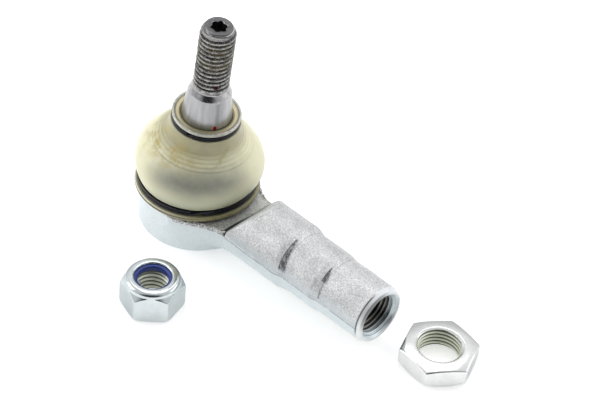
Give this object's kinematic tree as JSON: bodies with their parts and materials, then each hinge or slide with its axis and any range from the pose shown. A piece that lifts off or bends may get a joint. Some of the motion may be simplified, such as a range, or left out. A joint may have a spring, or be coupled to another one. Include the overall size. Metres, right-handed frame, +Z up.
{
  "type": "tie rod end",
  "caption": "Steering tie rod end: forged housing with a swivelling tapered ball stud under a dust boot, a female-threaded shank, and its loose lock nut and jam nut.",
  "frame": {"origin": "centre of the cover plate's flat underside, on the vertical axis through the ball's centre", "axes": "+X along the shank towards its threaded end, +Z up from the cover plate through the ball, +Y to the left of the shank"},
  "size_m": [0.1601, 0.0855, 0.0981],
  "materials": {
    "zinc_forging": "zinc-plated forging, satin with a fine grain",
    "seat_plastic": "natural acetal, matt",
    "spring_steel": "oiled spring steel",
    "cover_zinc": "zinc-plated pressing, satin",
    "stud_steel": "turned and rolled steel, satin, lightly oiled",
    "boot_rubber": "translucent cream polyurethane, satin",
    "clip_black": "black spring-steel strip, semi-gloss",
    "ring_steel": "pressed steel, satin",
    "nut_zinc": "bright zinc plate",
    "nylon_blue": "blue nylon, satin"
  },
  "bodies": {
    "housing": {"housing": "zinc_forging", "upper_ball_seat": "seat_plastic", "lower_ball_seat": "seat_plastic", "preload_spring": "spring_steel", "cover_plate": "cover_zinc", "boot_bottom_clip": "clip_black"},
    "boot": {"dust_boot": "boot_rubber"},
    "boot_head": {"boot_support_ring": "ring_steel", "boot_top_clip": "clip_black"},
    "stud": {"ball_stud": "stud_steel"},
    "lock_nut": {"lock_nut": "nut_zinc", "nylon_insert": "nylon_blue"},
    "jam_nut": {"jam_nut": "nut_zinc"}
  },
  "joints": [
    {"name": "stud_swing_along", "type": "hinge", "parent": "housing", "child": "boot", "pos_m": [0, 0, 0.0185], "axis": [0, 1, 0], "range_deg": [-25, 15], "deforming": ["dust_boot"]},
    {"name": "stud_swing_across", "type": "hinge", "parent": "boot", "child": "boot_head", "pos_m": [0, 0, 0.0185], "axis": [1, 0, 0], "range_deg": [-18, 18], "deforming": ["dust_boot"]},
    {"name": "stud_spin", "type": "hinge", "parent": "boot_head", "child": "stud", "pos_m": [0, 0, 0.0185], "axis": [0.0854, 0, 0.9963], "continuous": true},
    {"name": "lock_nut_lift", "type": "slide", "parent": "housing", "child": "lock_nut", "axis": [0, 0, 1], "range_m": [0, 0.1]},
    {"name": "jam_nut_lift", "type": "slide", "parent": "housing", "child": "jam_nut", "axis": [0, 0, 1], "range_m": [0, 0.1]}
  ]
}
